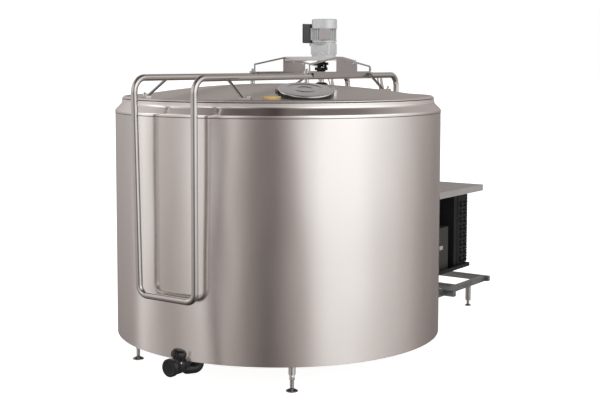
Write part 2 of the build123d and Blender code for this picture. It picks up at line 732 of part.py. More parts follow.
for make in (outer_wall, shoulder_ring, inner_vessel, evaporator_plate, insulation, bottom_plate, leg_sockets,
             levelling_feet, wall_brackets, hinge_pins, outlet_elbow, valve_body, valve_disc, valve_knob, outlet_cap,
             lid_dome, lid_edge_ring, lid_gasket, lid_necks, lift_frame, rim_struts, strut_feet, rear_links,
             suspension_rods, bridge_cheek_right, bridge_cheek_left, motor_plate, adapter_flange, gear_housing,
             motor_housing, motor_rotor, fan_cover, nameplate, terminal_box, cable_gland, shaft_boot, shaft_coupling,
             agitator_shaft, agitator_paddle, manway_cover, manway_gasket, cover_hinge_leaf, cover_hinge_base,
             cover_grip, inlet_plug, unit_frame, unit_feet, base_tray, condenser_core, core_end_plates, return_bends,
             fan_shroud, fan_motor, condenser_fan, top_cover, control_box, compressor, compressor_mounts, receiver,
             refrigerant_pipes):
    shape = Pos(0, -middle_y, 0) * make()
    export_step(shape, f"parts/{make.__name__}.step")
    print(make.__name__, len(shape.solids()), round(shape.volume / 1000), "cm3")
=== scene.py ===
import json
import math
import bmesh
import bpy
import numpy as np
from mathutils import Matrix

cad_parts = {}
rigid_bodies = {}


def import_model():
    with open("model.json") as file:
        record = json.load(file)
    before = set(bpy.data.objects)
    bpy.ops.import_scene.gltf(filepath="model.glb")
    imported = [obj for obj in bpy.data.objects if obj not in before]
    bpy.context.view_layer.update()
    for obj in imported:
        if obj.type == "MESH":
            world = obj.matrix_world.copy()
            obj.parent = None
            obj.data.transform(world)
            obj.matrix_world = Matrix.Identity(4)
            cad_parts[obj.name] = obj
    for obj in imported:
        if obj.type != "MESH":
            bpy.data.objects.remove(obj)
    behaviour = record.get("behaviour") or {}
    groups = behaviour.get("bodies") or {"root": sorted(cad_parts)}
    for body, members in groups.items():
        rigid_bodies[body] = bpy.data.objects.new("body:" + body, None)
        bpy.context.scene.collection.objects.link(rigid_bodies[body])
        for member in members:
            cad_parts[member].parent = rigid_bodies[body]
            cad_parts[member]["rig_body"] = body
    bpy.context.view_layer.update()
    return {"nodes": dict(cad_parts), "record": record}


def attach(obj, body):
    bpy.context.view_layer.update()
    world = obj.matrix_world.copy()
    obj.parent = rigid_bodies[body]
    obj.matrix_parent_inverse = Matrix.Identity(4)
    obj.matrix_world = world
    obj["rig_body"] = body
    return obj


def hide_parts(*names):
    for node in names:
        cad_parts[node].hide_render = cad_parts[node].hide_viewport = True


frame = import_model()
tankY = -0.517  # the tank's own axis in the row frame, where x is 0
bodyOf = {node: obj["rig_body"] for node, obj in frame["nodes"].items()}
slotOf = {part["node"]: part["material_slot"] for part in frame["record"]["subparts"]}
print("frame loaded:", len(bodyOf), "nodes")


# camera first: the photograph's own view, looking 4.7 degrees down from eye height
view = {"place": (3.866, -5.322 + tankY, 1.7195), "turn": 36.0, "down": 4.66, "lens": 66.9,
        "shiftX": 0.0367, "shiftY": -0.0932, "sensor": 36.0, "far": 200}


def linked(name, data):
    # a new object, put into the scene
    made = bpy.data.objects.new(name, data)
    bpy.context.scene.collection.objects.link(made)
    return made


def makeCamera():
    data = bpy.data.cameras.new("camera")
    data.lens, data.sensor_width, data.sensor_fit = view["lens"], view["sensor"], "HORIZONTAL"
    data.shift_x, data.shift_y, data.clip_end = view["shiftX"], view["shiftY"], view["far"]
    camera = linked("camera", data)
    camera.location = view["place"]
    camera.rotation_euler = (math.radians(90 - view["down"]), 0, math.radians(view["turn"]))
    bpy.context.scene.camera = camera


makeCamera()


# shapes: grids of points worked out as whole arrays
def rounded(points, radius, steps, closed=True):
    # every corner becomes an arc of that radius, shortened where the sides beside it are short
    p = np.asarray(points, float)
    r = np.broadcast_to(np.asarray(radius, float), (len(p),))[:, None]
    toBack, toNext = np.roll(p, 1, 0) - p, np.roll(p, -1, 0) - p
    back, ahead = np.linalg.norm(toBack, axis=1)[:, None], np.linalg.norm(toNext, axis=1)[:, None]
    u, v = toBack / back, toNext / ahead
    turn = np.pi - np.arccos(np.clip((u * v).sum(1), -1, 1))[:, None]
    turn = np.maximum(turn, 1e-3)  # a point in a straight line still has an arc
    reach = np.minimum(r * np.tan(turn / 2), 0.49 * np.minimum(back, ahead))  # less than half a side
    size = reach / np.tan(turn / 2)
    middle = u + v
    middle = middle / np.maximum(np.linalg.norm(middle, axis=1)[:, None], 1e-9)
    centre = p + middle * size / np.cos(turn / 2)
    a, b = p + u * reach - centre, p + v * reach - centre
    t = np.linspace(0, 1, steps + 1)[None, :, None]
    angle = turn[:, None]
    swept = np.sin((1 - t) * angle) * a[:, None] + np.sin(t * angle) * b[:, None]
    arcs = centre[:, None] + swept / np.sin(angle)
    if closed:
        return arcs.reshape(-1, p.shape[1])
    return np.concatenate([p[:1], arcs[1:-1].reshape(-1, p.shape[1]), p[-1:]])


def quads(rows, columns, wrapRows=False):
    # four corner numbers for each cell of a grid that closes round its columns, and its rows if asked
    cells = np.arange((rows - (not wrapRows)) * columns)
    i, j = np.divmod(cells, columns)
    k, l = (i + 1) % rows, (j + 1) % columns
    return np.stack([i * columns + j, i * columns + l, k * columns + l, k * columns + j], 1)


def meshFrom(name, parts, merge=1e-6, sharp=32):
    # (points, faces) pairs become one mesh: doubled points merged, faces turned outwards
    points = np.concatenate([p.reshape(-1, 3) for p, f in parts])
    starts = np.cumsum([0] + [p.size // 3 for p, f in parts[:-1]])
    faces = [row.tolist() for start, (p, f) in zip(starts, parts) for row in (np.asarray(f) + start)]
    mesh = bpy.data.meshes.new(name)
    mesh.from_pydata(points.tolist(), [], faces)
    work = bmesh.new()
    work.from_mesh(mesh)
    bmesh.ops.remove_doubles(work, verts=work.verts, dist=merge)
    bmesh.ops.dissolve_degenerate(work, edges=work.edges, dist=1e-7)
    bmesh.ops.recalc_face_normals(work, faces=work.faces)
    work.to_mesh(mesh)
    work.free()
    mesh.shade_smooth()
    mesh.set_sharp_from_angle(angle=math.radians(sharp))
    return mesh


def lathe(outline, sides, x=0.0, y=0.0, frameOf=None, wobble=None):
    # turns (radius, height) points about the upright line through x, y from the tank's axis, or about
    # the last axis of frameOf, a pair of origin and axes; wobble scales the radius by angle and height
    outline = np.asarray(outline, float)
    angle = np.linspace(0, 2 * np.pi, sides, endpoint=False)
    r, z = outline[:, None, 0], outline[:, None, 1]
    grow = 1 if wobble is None else wobble(angle[None], z)
    points = np.stack(np.broadcast_arrays(r * grow * np.cos(angle), r * grow * np.sin(angle), z), -1)
    if frameOf is None:
        points = points + (x, y + tankY, 0)
    else:
        origin, axes = frameOf
        points = points @ np.asarray(axes) + np.asarray(origin)
    return points, quads(len(outline), sides, True)


def capped(rings, first, last):
    # a row of rings closed at both ends by a ring shrunk to a point
    sides = rings.shape[1]
    ends = [np.broadcast_to(point, (1, sides, 3)) for point in (first, last)]
    points = np.concatenate([ends[0], rings, ends[1]])
    return points, quads(len(points), sides)


def carried(path, radius, sides):
    # a ring of that radius carried along the path, its frame turned no more than the path itself,
    # with both ends drawn to a point
    path = np.asarray(path, float)
    ahead = np.gradient(path, axis=0)
    ahead /= np.linalg.norm(ahead, axis=1)[:, None]
    side = np.cross(ahead[0], (0, 0, 1) if abs(ahead[0][2]) < 0.9 else (0, 1, 0))
    sidesOf = []
    for direction in ahead:  # the side vector is carried from station to station
        side = side - direction * side.dot(direction)
        side = side / np.linalg.norm(side)
        sidesOf.append(side)
    sidesOf = np.array(sidesOf)
    up = np.cross(ahead, sidesOf)
    angle = np.linspace(0, 2 * np.pi, sides, endpoint=False)
    radius = np.broadcast_to(np.asarray(radius, float), (len(path),))
    ring = np.cos(angle)[None, :, None] * sidesOf[:, None] + np.sin(angle)[None, :, None] * up[:, None]
    return capped(path[:, None] + ring * radius[:, None, None], path[0], path[-1])


def boxes(centres, halves):
    # upright boxes about their centres, all in one pair of arrays
    centres, halves = np.broadcast_arrays(np.asarray(centres, float), np.asarray(halves, float))
    signs = np.array([(-1, -1, -1), (1, -1, -1), (1, 1, -1), (-1, 1, -1),
                      (-1, -1, 1), (1, -1, 1), (1, 1, 1), (-1, 1, 1)])
    corners = np.array([(0, 3, 2, 1), (4, 5, 6, 7), (0, 1, 5, 4),
                        (1, 2, 6, 5), (2, 3, 7, 6), (3, 0, 4, 7)])
    points = centres[:, None] + signs[None] * halves[:, None]
    faces = corners[None] + len(signs) * np.arange(len(centres))[:, None, None]
    return points, faces.reshape(-1, 4)


def axesAlong(direction):
    # three unit rows with the last along the direction
    z = np.asarray(direction, float) / np.linalg.norm(direction)
    x = np.cross((0, 0, 1) if abs(z[2]) < 0.9 else (0, 1, 0), z)
    x /= np.linalg.norm(x)
    return np.array([x, np.cross(z, x), z])


bolt = {"sides": 48, "shoulder": 0.86, "crown": 0.49,  # shares of the head's height and of its flats
        "washerR": 0.85, "washerHigh": 0.0012, "washerEdge": 0.0003,
        "turnStep": 0.3}  # each head stands at another angle


def hexHead(place, direction, flats, height, turn):
    # six-sided head: the radius follows the flats and is cut by a cone at the top
    angle = np.linspace(0, 2 * np.pi, bolt["sides"], endpoint=False)
    flat = flats / 2 / np.cos((angle + turn + np.pi / 6) % (np.pi / 3) - np.pi / 6)
    levels = np.array([0, 0, bolt["shoulder"], 1, 1])[:, None] * height
    reach = np.array([0 * flat, flat, flat, np.minimum(flat, flats * bolt["crown"]), 0 * flat])
    points = np.stack(np.broadcast_arrays(reach * np.cos(angle), reach * np.sin(angle), levels), -1)
    return points @ axesAlong(direction) + np.asarray(place), quads(len(levels), bolt["sides"])


def drum(radius, low, high):
    # outline of a plain round block
    return [(0, low), (radius, low), (radius, high), (0, high)]


def disc(place, direction, radius, height, edge):
    # round washer with a softened rim
    outline = rounded(drum(radius, 0, height), (0, edge, edge, 0), 3)
    return lathe(outline, 40, frameOf=(place, axesAlong(direction)))


def addPiece(name, mesh, material, body, stands=()):
    mesh.materials.clear()
    mesh.materials.append(material)
    piece = linked(name, mesh)
    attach(piece, body)
    if stands:
        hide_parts(*stands)
    return piece


def addParts(name, parts, material, body, stands=(), sharp=32, merge=1e-6):
    # a piece made straight from its (points, faces) pairs
    return addPiece(name, meshFrom(name, parts, merge, sharp), material, body, stands)


dressing = {"merge": 1e-6, "flat": 1.0, "sharp": 34, "bevelFrom": 50, "segments": 2}  # angles in degrees


def softened(node, material, width):
    # a copy of the node's own shape, its loose triangles merged and its edges rounded, stands in for it
    mesh = frame["nodes"][node].data.copy()
    mesh.name = node + "Mesh"
    flat = math.radians(dressing["flat"])
    work = bmesh.new()
    work.from_mesh(mesh)
    bmesh.ops.remove_doubles(work, verts=work.verts, dist=dressing["merge"])
    bmesh.ops.dissolve_limit(work, angle_limit=flat, verts=work.verts, edges=work.edges)
    bmesh.ops.recalc_face_normals(work, faces=work.faces)
    work.to_mesh(mesh)
    work.free()
    if "custom_normal" in mesh.attributes:
        mesh.attributes.remove(mesh.attributes["custom_normal"])
    mesh.shade_smooth()
    mesh.set_sharp_from_angle(angle=math.radians(dressing["sharp"]))
    piece = addPiece(node + "Dressed", mesh, material, bodyOf[node], [node])
    if width:
        edge = piece.modifiers.new("edge", "BEVEL")
        edge.width, edge.segments, edge.limit_method = width, dressing["segments"], "ANGLE"
        edge.angle_limit = math.radians(dressing["bevelFrom"])
        edge.harden_normals, edge.use_clamp_overlap = True, True


# shader maths: a wire is one output socket, and arithmetic on it adds Math nodes
class Wire:
    def __init__(self, tree, socket):
        self.tree, self.socket = tree, socket

    def node(self, kind, sockets=None, output=0, stops=None, **settings):
        made = self.tree.nodes.new(kind)
        for name, value in settings.items():
            setattr(made, name, value)
        if stops:
            ramp = made.color_ramp
            while len(ramp.elements) < len(stops):
                ramp.elements.new(0.5)
            for element, (place, level) in zip(ramp.elements, stops):
                element.position = place
                element.color = (*level, 1) if isinstance(level, tuple) else (level, level, level, 1)
        for key, value in (sockets or {}).items():
            if isinstance(value, Wire):
                self.tree.links.new(value.socket, made.inputs[key])
            else:
                made.inputs[key].default_value = value
        return Wire(self.tree, made.outputs[output])

    def math(self, operation, *values):
        return self.node("ShaderNodeMath", dict(enumerate(values)), operation=operation)

    def __add__(self, other):
        return self.math("ADD", self, other)

    def __sub__(self, other):
        return self.math("SUBTRACT", self, other)

    def __rsub__(self, other):
        return self.math("SUBTRACT", other, self)

    def __mul__(self, other):
        return self.math("MULTIPLY", self, other)

    def __truediv__(self, other):
        return self.math("DIVIDE", self, other)

    __radd__, __rmul__ = __add__, __mul__


def finish(name, build, **constants):
    # one Principled material; build gets the object coordinates and returns the sockets that vary
    material = bpy.data.materials.new(name)
    material.use_nodes = True
    tree = material.node_tree
    shader = tree.nodes["Principled BSDF"]
    for key, value in constants.items():
        shader.inputs[key.replace("_", " ")].default_value = value
    start = Wire(tree, tree.nodes.new("ShaderNodeTexCoord").outputs["Object"])
    for key, value in build(start).items():
        tree.links.new(value.socket, shader.inputs[key])
    return material


def speckle(at, scale, detail, stretch=(1, 1, 1), rough=0.55):
    # noise from 0 to 1, drawn out along the axes with the smaller factors
    moved = at.node("ShaderNodeMapping", {"Vector": at, "Scale": stretch})
    return at.node("ShaderNodeTexNoise", {"Vector": moved, "Scale": scale, "Detail": detail,
                                          "Roughness": rough})


def tinted(at, mask, low, high):
    return at.node("ShaderNodeMix", {"Factor": mask, "A": (*low, 1), "B": (*high, 1)}, output="Result",
                   data_type="RGBA")


def bumped(at, height, depth, strength, under=None):
    sockets = {"Height": height, "Distance": depth, "Strength": strength}
    if under is not None:
        sockets["Normal"] = under
    return at.node("ShaderNodeBump", sockets)


def ringNoise(at, angleScale, heightScale, detail, rough=0.5):
    # noise at (angle, 0, height) on the tank's wall, so that its pattern follows the rolled sheet
    x, y, z = (at.node("ShaderNodeSeparateXYZ", {"Vector": at}, output=k) for k in range(3))
    angle = x.math("ARCTAN2", x, y - tankY)
    place = at.node("ShaderNodeCombineXYZ", {"X": angle * angleScale, "Y": 0.0, "Z": z * heightScale})
    return at.node("ShaderNodeTexNoise", {"Vector": place, "Scale": 1.0, "Detail": detail,
                                          "Roughness": rough})


def rolledSteel(color, shade, roughness, grain, waves):
    # rolled and brushed sheet: fine lines round the tank, long shallow waves, faint cloudy polish
    def build(at):
        lines = ringNoise(at, 4.0, 900, 3.0, 0.6)
        wave = ringNoise(at, 2.6, 0.9, 1.0)
        cloud = speckle(at, 3.0, 4.0, (1, 1, 0.5))
        return {"Base Color": tinted(at, cloud, shade, color),
                "Roughness": roughness + (cloud - 0.5) * 0.12 + (lines - 0.5) * 0.06,
                "Normal": bumped(at, lines, grain, 0.5, bumped(at, wave, waves, 1.0))}
    return build


def drawnSteel(color, shade, roughness, stretch, depth=0.00002):
    # brushed lines along the axis with the smallest stretch, with a cloudy change of polish
    def build(at):
        lines = speckle(at, 1.0, 4.0, stretch, 0.7)
        cloud = speckle(at, 9.0, 3.0)
        return {"Base Color": tinted(at, cloud, shade, color),
                "Roughness": roughness + (lines - 0.5) * 0.14 + (cloud - 0.5) * 0.08,
                "Normal": bumped(at, lines, depth, 0.6)}
    return build


def painted(color, shade, roughness, peel=0.00006, scale=420):
    # sprayed paint: orange peel, faint dust in the colour
    def build(at):
        cloud = speckle(at, 14.0, 4.0)
        return {"Base Color": tinted(at, cloud, shade, color),
                "Roughness": roughness + (cloud - 0.5) * 0.16,
                "Normal": bumped(at, speckle(at, scale, 2.0), peel, 0.5)}
    return build


def moulded(color, shade, roughness, depth=0.00004, scale=900):
    # moulded plastic or rubber: fine even skin, faint rubbed patches
    def build(at):
        patch = speckle(at, 22.0, 5.0)
        return {"Base Color": tinted(at, patch, shade, color),
                "Roughness": roughness + (patch - 0.5) * 0.18,
                "Normal": bumped(at, speckle(at, scale, 1.0), depth, 0.6)}
    return build


def spangled(color, shade, roughness):
    # hot-dip zinc: crystals a centimetre or two across, each with its own tone
    def build(at):
        cell = at.node("ShaderNodeTexVoronoi", {"Vector": at, "Scale": 70.0}, output="Color")
        tone = at.node("ShaderNodeRGBToBW", {"Color": cell})
        return {"Base Color": tinted(at, tone, shade, color), "Roughness": roughness + (tone - 0.5) * 0.2,
                "Normal": bumped(at, tone, 0.00008, 0.4)}
    return build


def rimmedSteel(color, shade, edgeHeight):
    # brushed sheet that is polished on the shoulder and matt on the upright collar above that height
    def build(at):
        lines = ringNoise(at, 1.2, 260, 4.0, 0.7)
        height = at.node("ShaderNodeSeparateXYZ", {"Vector": at}, output=2)
        matt = height.math("GREATER_THAN", height, edgeHeight)
        return {"Base Color": tinted(at, speckle(at, 5.0, 3.0), shade, color),
                "Roughness": 0.16 + matt * 0.30 + (lines - 0.5) * 0.06,
                "Normal": bumped(at, lines, 0.00002, 0.5)}
    return build


def steel(name, color, shade, roughness, stretch):
    return finish(name, drawnSteel(color, shade, roughness, stretch), Metallic=1.0)


# what each piece of steel differs in: colour, darker colour, roughness, stretch of its brushed lines
wallSteel = finish("wallSteel", rolledSteel((0.86, 0.825, 0.80), (0.80, 0.76, 0.73), 0.19, 0.0002, 0.012),
                   Metallic=1.0)
rimSteel = finish("rimSteel", rimmedSteel((0.92, 0.88, 0.855), (0.86, 0.82, 0.79), 1.496), Metallic=1.0)
coverSteel = finish("coverSteel", drawnSteel((0.84, 0.86, 0.86), (0.76, 0.785, 0.79), 0.26, (8, 160, 8),
                                             0.000008), Metallic=1.0)
lidSteel = steel("lidSteel", (0.745, 0.705, 0.665), (0.68, 0.64, 0.60), 0.34, (6, 240, 240))
tubeSteel = steel("tubeSteel", (0.64, 0.62, 0.60), (0.54, 0.52, 0.505), 0.055, (60, 60, 60))
rodSteel = steel("rodSteel", (0.80, 0.79, 0.77), (0.68, 0.67, 0.65), 0.14, (90, 90, 90))
strutSteel = steel("strutSteel", (0.46, 0.45, 0.44), (0.36, 0.35, 0.34), 0.16, (90, 90, 90))
cheekSteel = steel("cheekSteel", (0.51, 0.475, 0.465), (0.44, 0.41, 0.40), 0.32, (240, 6, 240))
sheetSteel = steel("sheetSteel", (0.86, 0.85, 0.84), (0.76, 0.75, 0.74), 0.3, (240, 6, 240))
roofSteel = steel("roofSteel", (0.66, 0.65, 0.64), (0.56, 0.555, 0.54), 0.50, (6, 240, 240))
boltSteel = steel("boltSteel", (0.78, 0.78, 0.77), (0.6, 0.6, 0.6), 0.24, (200, 200, 200))
finAluminium = steel("finAluminium", (0.80, 0.81, 0.82), (0.66, 0.67, 0.68), 0.32, (30, 400, 30))
plateAluminium = steel("plateAluminium", (0.90, 0.90, 0.90), (0.82, 0.82, 0.82), 0.3, (10, 10, 500))
copper = steel("copper", (0.78, 0.42, 0.26), (0.56, 0.28, 0.17), 0.3, (90, 90, 90))
zincSteel = finish("zincSteel", spangled((0.31, 0.32, 0.31), (0.17, 0.18, 0.175), 0.34), Metallic=0.9)
motorGrey = finish("motorGrey", painted((0.61, 0.62, 0.625), (0.47, 0.48, 0.49), 0.32, 0.00012, 260),
                   Metallic=0.35)
blackPaint = finish("blackPaint", painted((0.007, 0.007, 0.008), (0.013, 0.013, 0.014), 0.55),
                    Specular_IOR_Level=0.2)
blackGloss = finish("blackGloss", moulded((0.006, 0.006, 0.0065), (0.011, 0.011, 0.0115), 0.15, 0.00002),
                    Specular_IOR_Level=0.4)
boxGrey = finish("boxGrey", moulded((0.034, 0.034, 0.029), (0.026, 0.026, 0.023), 0.5),
                 Specular_IOR_Level=0.25)
charcoal = finish("charcoal", moulded((0.045, 0.046, 0.05), (0.06, 0.061, 0.064), 0.45))
tanPlug = finish("tanPlug", moulded((0.44, 0.31, 0.13), (0.33, 0.21, 0.085), 0.36))
blackRubber = finish("blackRubber", moulded((0.014, 0.014, 0.014), (0.025, 0.025, 0.024), 0.6))
foam = finish("foam", moulded((0.78, 0.66, 0.36), (0.66, 0.52, 0.26), 0.85, 0.0008, 160))
bySlot = {"brushed_stainless": lidSteel, "polished_tube": tubeSteel, "sheet_stainless": sheetSteel,
          "machined_steel": boltSteel, "frame_steel": zincSteel, "insulating_foam": foam,
          "black_plastic": blackGloss, "charcoal_plastic": charcoal, "motor_paint": motorGrey,
          "black_paint": blackPaint, "grey_plastic": boxGrey, "tan_plastic": tanPlug,
          "black_rubber": blackRubber, "core_aluminium": finAluminium, "bare_plate": plateAluminium,
          "copper_pipe": copper}
ownFinish = {"bridge_cheek_right": cheekSteel, "bridge_cheek_left": cheekSteel, "top_cover": roofSteel,
             "rim_struts": strutSteel, "levelling_feet": strutSteel, "unit_feet": strutSteel,
             "suspension_rods": rodSteel, "rear_links": rodSteel, "return_bends": blackGloss}


def finishOf(node):
    return ownFinish.get(node, bySlot[slotOf[node]])


for node, obj in frame["nodes"].items():
    obj.data.materials.clear()
    obj.data.materials.append(finishOf(node))
print("materials made:", len(bySlot))


# tank: wall, shoulder, lid
tank = {"wallR": 0.95, "sheet": 0.002, "low": 0.158, "top": 1.447, "hem": 0.0012, "bands": 40,
        "sides": 360}
outlet = {"x": 0.070, "z": 0.141, "hole": 0.030, "stemY": -1.004, "stemTilt": 16.0}


def onTank(x, y, z):
    # a place measured from the tank's axis
    return np.array([x, y + tankY, z])


def drilled(name, part, cutters, sharp):
    # a mesh of the part with the cutters' volume taken out of it
    piece = linked(name, meshFrom(name, [part]))
    for cutter in cutters:
        tool = linked("cutter", meshFrom("cutter", [cutter]))
        cut = piece.modifiers.new("cut", "BOOLEAN")
        cut.object, cut.operation, cut.solver = tool, "DIFFERENCE", "EXACT"
        bpy.context.view_layer.update()
        ready = piece.evaluated_get(bpy.context.evaluated_depsgraph_get())
        mesh = bpy.data.meshes.new_from_object(ready)
        piece.modifiers.clear()
        piece.data = mesh
        bpy.data.objects.remove(tool)
    bpy.data.objects.remove(piece)
    mesh.shade_smooth()
    mesh.set_sharp_from_angle(angle=math.radians(sharp))
    return mesh


def makeTankWall():
    # rolled sheet with softened edges, drilled for the outlet
    t = tank
    r, s = t["wallR"], t["sheet"]
    outline = rounded([(r - s, t["low"]), (r, t["low"]), (r, t["top"]), (r - s, t["top"])], t["hem"], 3)
    half = len(outline) // 2  # the two lower corners come first
    heights = np.linspace(t["low"] + s, t["top"] - s, t["bands"])
    side = np.stack([np.full(len(heights), r), heights], 1)
    outline = np.concatenate([outline[:half], side, outline[half:]])
    place = (outlet["x"], tankY - r + 0.05, outlet["z"])
    hole = lathe(drum(outlet["hole"], 0, 0.1), 64, frameOf=(place, axesAlong((0, -1, 0))))
    mesh = drilled("tankWallSkin", lathe(outline, t["sides"]), [hole], 32)
    addPiece("tankWall", mesh, wallSteel, "tank", ["outer_wall"])


# radii follow the outline from the foot of the lap, up over the shoulder and down again inside
shoulder = {"low": 1.453, "collarR": 0.912, "collarTop": 1.516, "lipR": 0.884, "lap": 0.0015,
            "lapLow": 0.007, "inset": 0.001,
            "radii": (0.0005, 0.0007, 0.022, 0.030, 0.004, 0.001, 0.001, 0.002, 0.032, 0.020, 0.001,
                      0.0005)}


def makeShoulder():
    # 45 degree shoulder and upright collar, the shoulder's foot lapping over the wall
    d = shoulder
    r, c, s, low, high = tank["wallR"], d["collarR"], tank["sheet"], d["low"], d["collarTop"]
    lap, lapFoot, wallTop = r + d["lap"], tank["top"] - d["lapLow"], tank["top"]
    top = low + r + d["lap"] - c  # as high above low as the shoulder is deep
    outline = [(r, lapFoot), (lap, lapFoot), (lap, low), (c, top), (c, high), (d["lipR"], high),
               (d["lipR"], high - s), (c - s, high - s), (c - s, top - d["inset"]),
               (r - s, low - d["inset"]), (r - s, wallTop), (r, wallTop)]
    ring = lathe(rounded(outline, d["radii"], 8), tank["sides"])
    addParts("shoulderRing", [ring], rimSteel, "tank", ["shoulder_ring"], sharp=40)


# painted shadow: sizes of the charcoal band that draws the shadow line under the shoulder's lap
lapShade = {"low": 0.0105, "high": 0.0072, "inside": 0.0005, "outside": 0.0008, "round": 0.0003}


def makeLapShadeBand():
    # dark charcoal band under the lap: a painted shadow line where the shoulder's foot stands off the
    # wall
    r, low, high = tank["wallR"], tank["top"] - lapShade["low"], tank["top"] - lapShade["high"]
    outline = [(r - lapShade["inside"], low), (r + lapShade["outside"], low), (r + lapShade["outside"], high),
               (r - lapShade["inside"], high)]
    ring = lathe(rounded(outline, lapShade["round"], 2), tank["sides"])
    addParts("wallSeam", [ring], charcoal, "tank")


lidShape = {"top": 1.601, "ball": 5.060, "r": 0.893, "sheet": 0.002, "bootR": 0.045, "firstRing": 0.02,
            "rings": 60, "sides": 180}
manway = {"place": (0.525, -0.481, 1.586), "tilt": 14.0, "neck": 0.136}
inlet = {"place": (0.470, -0.700), "r": 0.042}
shaftY = 0.456  # the agitator's shaft


def lidHeight(x, y):
    # height of the ball's surface above the floor
    return lidShape["top"] - lidShape["ball"] + np.sqrt(lidShape["ball"] ** 2 - x * x - y * y)


def manwayAxes():
    # origin and axes of the cover's frame, tilted down towards the rim
    x, y, z = manway["place"]
    u = np.array([x, y, 0]) / math.hypot(x, y)
    t = math.radians(manway["tilt"])
    normal = u * math.sin(t) + np.array([0, 0, math.cos(t)])
    down = u * math.cos(t) - np.array([0, 0, math.sin(t)])
    return onTank(x, y, z), np.array([down, np.cross(normal, down), normal])


def readAll(items, field, width=1, kind=float):
    values = np.empty(len(items) * width, kind)
    items.foreach_get(field, values)
    return values.reshape(-1, width).squeeze()


def makeLid():
    # shallow ball cap with three round openings; its normals are the ball's own
    d = lidShape
    r = np.concatenate([[0], np.linspace(d["firstRing"], d["r"], d["rings"])])
    outer = np.stack([r, d["top"] - d["ball"] + np.sqrt(d["ball"] ** 2 - r ** 2)], 1)
    inner = outer[::-1] - (0, d["sheet"])
    holes = [lathe(drum(manway["neck"], -0.1, 0.1), 96, frameOf=manwayAxes()),
             lathe(drum(d["bootR"], 1.5, 1.7), 64, 0, shaftY),
             lathe(drum(inlet["r"], 1.5, 1.7), 64, *inlet["place"])]
    mesh = drilled("lidDomeSkin", lathe(np.concatenate([outer, inner]), d["sides"]), holes, 40)
    corners = readAll(mesh.loops, "vertex_index", 1, np.int32)
    totals = readAll(mesh.polygons, "loop_total", 1, np.int32)
    flat = np.repeat(readAll(mesh.polygons, "normal", 3), totals, 0)
    ball = readAll(mesh.vertices, "co", 3)[corners] - (0, tankY, d["top"] - d["ball"])
    ball /= np.linalg.norm(ball, axis=1)[:, None]
    along = (flat * ball).sum(1)[:, None]
    normals = np.where(np.abs(along) > 0.9, ball * np.sign(along), flat)
    mesh.normals_split_custom_set(normals.tolist())
    addPiece("lidDome", mesh, lidSteel, "lid", ["lid_dome"])


lidRim = {"edgeR": 0.911, "flatR": 0.899, "low": 1.520, "high": 1.532, "foot": 0.004,
          "radii": (0.001, 0.001, 0.002, 0.003, 0.001)}


def makeLidRim():
    # sloping edge of the lid, rounded over
    d, r = lidRim, lidShape["r"]
    outline = [(r, d["low"]), (d["edgeR"], d["low"]), (d["edgeR"], d["low"] + d["foot"]),
               (d["flatR"], d["high"]), (r, d["high"])]
    ring = lathe(rounded(outline, d["radii"], 6), tank["sides"])
    addParts("lidRim", [ring], rimSteel, "lid", ["lid_edge_ring"], sharp=45)


makeTankWall()
makeShoulder()
# the charcoal band under the lap is a painted shadow line
makeLapShadeBand()
makeLid()
makeLidRim()
print("tank and lid made")


# lift frame
lift = {"r": 0.018, "z": 1.643, "frontY": -1.008, "front": 0.207, "handleZ": 0.487, "handleY": -0.994,
        "handle": 0.193, "rearY": 1.058, "rear": 0.187, "hingeZ": 1.372,
        "bends": (0, 0.070, 0.080, 0.055),  # from the hinge to the middle of the handle
        "bore": 0.0101, "eyeR": 0.022, "eyeHalf": 0.025, "eyeEdge": 0.0015}


def makeLiftFrame():
    # one tube up from each hinge, over the lid and down into the handle, with an eye at each end
    f = lift
    left = [(-f["rear"], f["rearY"], f["hingeZ"] + 0.010), (-f["rear"], f["rearY"], f["z"]),
            (-f["front"], f["frontY"], f["z"]), (-f["handle"], f["handleY"], f["handleZ"])]
    corners = np.array(left + [(-x, y, z) for x, y, z in reversed(left)]) + (0, tankY, 0)
    path = rounded(corners, f["bends"] + f["bends"][::-1], 16, closed=False)
    parts = [carried(path, f["r"], 40)]
    bore, outside, half = f["bore"], f["eyeR"], f["eyeHalf"]
    eye = rounded([(bore, -half), (outside, -half), (outside, half), (bore, half)], f["eyeEdge"], 3)
    for side in (-1, 1):
        place = onTank(side * f["rear"], f["rearY"], f["hingeZ"])
        parts.append(lathe(eye, 64, frameOf=(place, axesAlong((1, 0, 0)))))
    addParts("liftTube", parts, tubeSteel, "lid", ["lift_frame"], sharp=40)


makeLiftFrame()
# nodes that keep their own shape, with the width of the rounding on their edges
softNodes = {"wall_brackets": 0.0012, "hinge_pins": 0.001, "rim_struts": 0, "strut_feet": 0.0012,
             "rear_links": 0.0008, "suspension_rods": 0.0008, "bridge_cheek_right": 0.001,
             "bridge_cheek_left": 0.001, "motor_plate": 0.001, "adapter_flange": 0.001,
             "gear_housing": 0.004, "motor_housing": 0.0007, "fan_cover": 0.001, "nameplate": 0.0005,
             "terminal_box": 0.0015, "cable_gland": 0.0008, "shaft_boot": 0.001, "shaft_coupling": 0.001,
             "agitator_shaft": 0.001, "agitator_paddle": 0.0012, "cover_hinge_leaf": 0.0008,
             "cover_hinge_base": 0.0008, "cover_grip": 0.001, "lid_necks": 0.0008, "unit_frame": 0.002,
             "unit_feet": 0.001, "base_tray": 0.001, "core_end_plates": 0.0006, "return_bends": 0,
             "fan_shroud": 0.001, "fan_motor": 0.001, "top_cover": 0.0015, "control_box": 0.002,
             "compressor": 0.002, "receiver": 0.001, "leg_sockets": 0.001, "levelling_feet": 0.001,
             "outlet_elbow": 0, "valve_body": 0.001}
for node, width in softNodes.items():
    softened(node, finishOf(node), width)
print("nodes dressed:", len(softNodes))


# turned pieces: inspection cover, valve knob, outlet cap and inlet plug

